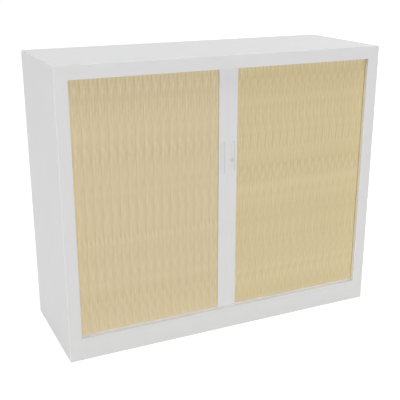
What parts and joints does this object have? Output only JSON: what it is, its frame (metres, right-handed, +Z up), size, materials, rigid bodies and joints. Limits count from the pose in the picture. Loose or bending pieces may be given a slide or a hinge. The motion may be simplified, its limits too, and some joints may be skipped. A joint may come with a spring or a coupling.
{
  "type": "tambour door cupboard",
  "caption": "Low steel office cupboard with sliding tambour doors of upright wood-look slats, recessed pulls, a hook lock and adjustable shelves inside.",
  "frame": {"origin": "bottom centre of the carcass, on the floor", "axes": "+Z up, front with the tambour doors towards -Y, +X to the right as seen from the front, along the width"},
  "size_m": [1.2, 0.43, 1],
  "materials": {
    "steel_paint": "satin light grey powder coat",
    "inner_paint": "satin light grey powder coat",
    "profile_paint": "satin light grey powder coat",
    "maple": "satin maple-look slats",
    "guide_plastic": "matt light grey",
    "pull_plastic": "matt light grey",
    "foot_plastic": "matt black",
    "zinc": "zinc plated",
    "nickel": "satin nickel"
  },
  "bodies": {
    "carcass": {"left_side_panel": "steel_paint", "right_side_panel": "steel_paint", "top_panel": "steel_paint", "plinth": "steel_paint", "base_panel": "steel_paint", "back_panel": "steel_paint", "left_liner": "inner_paint", "right_liner": "inner_paint", "bottom_track": "guide_plastic", "top_track": "guide_plastic", "lower_shelf": "inner_paint", "upper_shelf": "inner_paint", "front_left_foot": "foot_plastic", "front_right_foot": "foot_plastic", "rear_left_foot": "foot_plastic", "rear_right_foot": "foot_plastic"},
    "left_door": {"left_leading_profile": "profile_paint", "left_pull": "pull_plastic", "strike_plate": "zinc"},
    "right_door": {"right_leading_profile": "profile_paint", "right_pull": "pull_plastic", "lock_housing": "zinc"},
    "lock": {"lock_cylinder": "nickel", "lock_hook": "zinc"},
    "left_slat_01": {"left_slat_01": "maple"},
    "left_slat_02": {"left_slat_02": "maple"},
    "left_slat_03": {"left_slat_03": "maple"},
    "left_slat_04": {"left_slat_04": "maple"},
    "left_slat_05": {"left_slat_05": "maple"},
    "left_slat_06": {"left_slat_06": "maple"},
    "left_slat_07": {"left_slat_07": "maple"},
    "left_slat_08": {"left_slat_08": "maple"},
    "left_slat_09": {"left_slat_09": "maple"},
    "left_slat_10": {"left_slat_10": "maple"},
    "left_slat_11": {"left_slat_11": "maple"},
    "left_slat_12": {"left_slat_12": "maple"},
    "left_slat_13": {"left_slat_13": "maple"},
    "left_slat_14": {"left_slat_14": "maple"},
    "left_slat_15": {"left_slat_15": "maple"},
    "left_slat_16": {"left_slat_16": "maple"},
    "left_slat_17": {"left_slat_17": "maple"},
    "left_slat_18": {"left_slat_18": "maple"},
    "right_slat_01": {"right_slat_01": "maple"},
    "right_slat_02": {"right_slat_02": "maple"},
    "right_slat_03": {"right_slat_03": "maple"},
    "right_slat_04": {"right_slat_04": "maple"},
    "right_slat_05": {"right_slat_05": "maple"},
    "right_slat_06": {"right_slat_06": "maple"},
    "right_slat_07": {"right_slat_07": "maple"},
    "right_slat_08": {"right_slat_08": "maple"},
    "right_slat_09": {"right_slat_09": "maple"},
    "right_slat_10": {"right_slat_10": "maple"},
    "right_slat_11": {"right_slat_11": "maple"},
    "right_slat_12": {"right_slat_12": "maple"},
    "right_slat_13": {"right_slat_13": "maple"},
    "right_slat_14": {"right_slat_14": "maple"},
    "right_slat_15": {"right_slat_15": "maple"},
    "right_slat_16": {"right_slat_16": "maple"},
    "right_slat_17": {"right_slat_17": "maple"},
    "right_slat_18": {"right_slat_18": "maple"}
  },
  "joints": [
    {"name": "left_door_slide", "type": "slide", "parent": "carcass", "child": "left_door", "axis": [-1, 0, 0], "range_m": [0, 0.5215], "deforming": ["left_slat_01", "left_slat_02", "left_slat_03", "left_slat_04", "left_slat_05", "left_slat_06", "left_slat_07", "left_slat_08", "left_slat_09", "left_slat_10", "left_slat_11", "left_slat_12", "left_slat_13", "left_slat_14", "left_slat_15", "left_slat_16", "left_slat_17", "left_slat_18"]},
    {"name": "right_door_slide", "type": "slide", "parent": "carcass", "child": "right_door", "axis": [1, 0, 0], "range_m": [0, 0.5215], "deforming": ["right_slat_01", "right_slat_02", "right_slat_03", "right_slat_04", "right_slat_05", "right_slat_06", "right_slat_07", "right_slat_08", "right_slat_09", "right_slat_10", "right_slat_11", "right_slat_12", "right_slat_13", "right_slat_14", "right_slat_15", "right_slat_16", "right_slat_17", "right_slat_18"]},
    {"name": "lock_turn", "type": "hinge", "parent": "right_door", "child": "lock", "pos_m": [0.019, -0.17, 0.635], "axis": [0, 1, 0], "range_deg": [0, 90]},
    {"name": "left_slat_01_slide", "type": "slide", "parent": "carcass", "child": "left_slat_01", "axis": [-1, 0, 0], "range_m": [0, 0.5215]},
    {"name": "left_slat_02_slide", "type": "slide", "parent": "carcass", "child": "left_slat_02", "axis": [-1, 0, 0], "range_m": [0, 0.49185]},
    {"name": "left_slat_03_slide", "type": "slide", "parent": "carcass", "child": "left_slat_03", "axis": [-1, 0, 0], "range_m": [0, 0.4622]},
    {"name": "left_slat_04_slide", "type": "slide", "parent": "carcass", "child": "left_slat_04", "axis": [-1, 0, 0], "range_m": [0, 0.43255]},
    {"name": "left_slat_05_slide", "type": "slide", "parent": "carcass", "child": "left_slat_05", "axis": [-1, 0, 0], "range_m": [0, 0.4029]},
    {"name": "left_slat_06_slide", "type": "slide", "parent": "carcass", "child": "left_slat_06", "axis": [-1, 0, 0], "range_m": [0, 0.37325]},
    {"name": "left_slat_07_slide", "type": "slide", "parent": "carcass", "child": "left_slat_07", "axis": [-1, 0, 0], "range_m": [0, 0.3436]},
    {"name": "left_slat_08_slide", "type": "slide", "parent": "carcass", "child": "left_slat_08", "axis": [-1, 0, 0], "range_m": [0, 0.31395]},
    {"name": "left_slat_09_slide", "type": "slide", "parent": "carcass", "child": "left_slat_09", "axis": [-1, 0, 0], "range_m": [0, 0.2843]},
    {"name": "left_slat_10_slide", "type": "slide", "parent": "carcass", "child": "left_slat_10", "axis": [-1, 0, 0], "range_m": [0, 0.25465]},
    {"name": "left_slat_11_slide", "type": "slide", "parent": "carcass", "child": "left_slat_11", "axis": [-1, 0, 0], "range_m": [0, 0.225]},
    {"name": "left_slat_12_slide", "type": "slide", "parent": "carcass", "child": "left_slat_12", "axis": [-1, 0, 0], "range_m": [0, 0.19535]},
    {"name": "left_slat_13_slide", "type": "slide", "parent": "carcass", "child": "left_slat_13", "axis": [-1, 0, 0], "range_m": [0, 0.1657]},
    {"name": "left_slat_14_slide", "type": "slide", "parent": "carcass", "child": "left_slat_14", "axis": [-1, 0, 0], "range_m": [0, 0.13605]},
    {"name": "left_slat_15_slide", "type": "slide", "parent": "carcass", "child": "left_slat_15", "axis": [-1, 0, 0], "range_m": [0, 0.1064]},
    {"name": "left_slat_16_slide", "type": "slide", "parent": "carcass", "child": "left_slat_16", "axis": [-1, 0, 0], "range_m": [0, 0.07675]},
    {"name": "left_slat_17_slide", "type": "slide", "parent": "carcass", "child": "left_slat_17", "axis": [-1, 0, 0], "range_m": [0, 0.0471]},
    {"name": "left_slat_18_slide", "type": "slide", "parent": "carcass", "child": "left_slat_18", "axis": [-1, 0, 0], "range_m": [0, 0.01745]},
    {"name": "right_slat_01_slide", "type": "slide", "parent": "carcass", "child": "right_slat_01", "axis": [1, 0, 0], "range_m": [0, 0.5215]},
    {"name": "right_slat_02_slide", "type": "slide", "parent": "carcass", "child": "right_slat_02", "axis": [1, 0, 0], "range_m": [0, 0.49185]},
    {"name": "right_slat_03_slide", "type": "slide", "parent": "carcass", "child": "right_slat_03", "axis": [1, 0, 0], "range_m": [0, 0.4622]},
    {"name": "right_slat_04_slide", "type": "slide", "parent": "carcass", "child": "right_slat_04", "axis": [1, 0, 0], "range_m": [0, 0.43255]},
    {"name": "right_slat_05_slide", "type": "slide", "parent": "carcass", "child": "right_slat_05", "axis": [1, 0, 0], "range_m": [0, 0.4029]},
    {"name": "right_slat_06_slide", "type": "slide", "parent": "carcass", "child": "right_slat_06", "axis": [1, 0, 0], "range_m": [0, 0.37325]},
    {"name": "right_slat_07_slide", "type": "slide", "parent": "carcass", "child": "right_slat_07", "axis": [1, 0, 0], "range_m": [0, 0.3436]},
    {"name": "right_slat_08_slide", "type": "slide", "parent": "carcass", "child": "right_slat_08", "axis": [1, 0, 0], "range_m": [0, 0.31395]},
    {"name": "right_slat_09_slide", "type": "slide", "parent": "carcass", "child": "right_slat_09", "axis": [1, 0, 0], "range_m": [0, 0.2843]},
    {"name": "right_slat_10_slide", "type": "slide", "parent": "carcass", "child": "right_slat_10", "axis": [1, 0, 0], "range_m": [0, 0.25465]},
    {"name": "right_slat_11_slide", "type": "slide", "parent": "carcass", "child": "right_slat_11", "axis": [1, 0, 0], "range_m": [0, 0.225]},
    {"name": "right_slat_12_slide", "type": "slide", "parent": "carcass", "child": "right_slat_12", "axis": [1, 0, 0], "range_m": [0, 0.19535]},
    {"name": "right_slat_13_slide", "type": "slide", "parent": "carcass", "child": "right_slat_13", "axis": [1, 0, 0], "range_m": [0, 0.1657]},
    {"name": "right_slat_14_slide", "type": "slide", "parent": "carcass", "child": "right_slat_14", "axis": [1, 0, 0], "range_m": [0, 0.13605]},
    {"name": "right_slat_15_slide", "type": "slide", "parent": "carcass", "child": "right_slat_15", "axis": [1, 0, 0], "range_m": [0, 0.1064]},
    {"name": "right_slat_16_slide", "type": "slide", "parent": "carcass", "child": "right_slat_16", "axis": [1, 0, 0], "range_m": [0, 0.07675]},
    {"name": "right_slat_17_slide", "type": "slide", "parent": "carcass", "child": "right_slat_17", "axis": [1, 0, 0], "range_m": [0, 0.0471]},
    {"name": "right_slat_18_slide", "type": "slide", "parent": "carcass", "child": "right_slat_18", "axis": [1, 0, 0], "range_m": [0, 0.01745]}
  ],
  "couplings": [
    {"joint": "left_slat_01_slide", "follows": "left_door_slide", "ratio": 1},
    {"joint": "left_slat_02_slide", "follows": "left_door_slide", "ratio": 0.94314},
    {"joint": "left_slat_03_slide", "follows": "left_door_slide", "ratio": 0.88629},
    {"joint": "left_slat_04_slide", "follows": "left_door_slide", "ratio": 0.82943},
    {"joint": "left_slat_05_slide", "follows": "left_door_slide", "ratio": 0.77258},
    {"joint": "left_slat_06_slide", "follows": "left_door_slide", "ratio": 0.71572},
    {"joint": "left_slat_07_slide", "follows": "left_door_slide", "ratio": 0.65887},
    {"joint": "left_slat_08_slide", "follows": "left_door_slide", "ratio": 0.60201},
    {"joint": "left_slat_09_slide", "follows": "left_door_slide", "ratio": 0.54516},
    {"joint": "left_slat_10_slide", "follows": "left_door_slide", "ratio": 0.4883},
    {"joint": "left_slat_11_slide", "follows": "left_door_slide", "ratio": 0.43145},
    {"joint": "left_slat_12_slide", "follows": "left_door_slide", "ratio": 0.37459},
    {"joint": "left_slat_13_slide", "follows": "left_door_slide", "ratio": 0.31774},
    {"joint": "left_slat_14_slide", "follows": "left_door_slide", "ratio": 0.26088},
    {"joint": "left_slat_15_slide", "follows": "left_door_slide", "ratio": 0.20403},
    {"joint": "left_slat_16_slide", "follows": "left_door_slide", "ratio": 0.14717},
    {"joint": "left_slat_17_slide", "follows": "left_door_slide", "ratio": 0.090316},
    {"joint": "left_slat_18_slide", "follows": "left_door_slide", "ratio": 0.033461},
    {"joint": "right_slat_01_slide", "follows": "right_door_slide", "ratio": 1},
    {"joint": "right_slat_02_slide", "follows": "right_door_slide", "ratio": 0.94314},
    {"joint": "right_slat_03_slide", "follows": "right_door_slide", "ratio": 0.88629},
    {"joint": "right_slat_04_slide", "follows": "right_door_slide", "ratio": 0.82943},
    {"joint": "right_slat_05_slide", "follows": "right_door_slide", "ratio": 0.77258},
    {"joint": "right_slat_06_slide", "follows": "right_door_slide", "ratio": 0.71572},
    {"joint": "right_slat_07_slide", "follows": "right_door_slide", "ratio": 0.65887},
    {"joint": "right_slat_08_slide", "follows": "right_door_slide", "ratio": 0.60201},
    {"joint": "right_slat_09_slide", "follows": "right_door_slide", "ratio": 0.54516},
    {"joint": "right_slat_10_slide", "follows": "right_door_slide", "ratio": 0.4883},
    {"joint": "right_slat_11_slide", "follows": "right_door_slide", "ratio": 0.43145},
    {"joint": "right_slat_12_slide", "follows": "right_door_slide", "ratio": 0.37459},
    {"joint": "right_slat_13_slide", "follows": "right_door_slide", "ratio": 0.31774},
    {"joint": "right_slat_14_slide", "follows": "right_door_slide", "ratio": 0.26088},
    {"joint": "right_slat_15_slide", "follows": "right_door_slide", "ratio": 0.20403},
    {"joint": "right_slat_16_slide", "follows": "right_door_slide", "ratio": 0.14717},
    {"joint": "right_slat_17_slide", "follows": "right_door_slide", "ratio": 0.090316},
    {"joint": "right_slat_18_slide", "follows": "right_door_slide", "ratio": 0.033461}
  ]
}
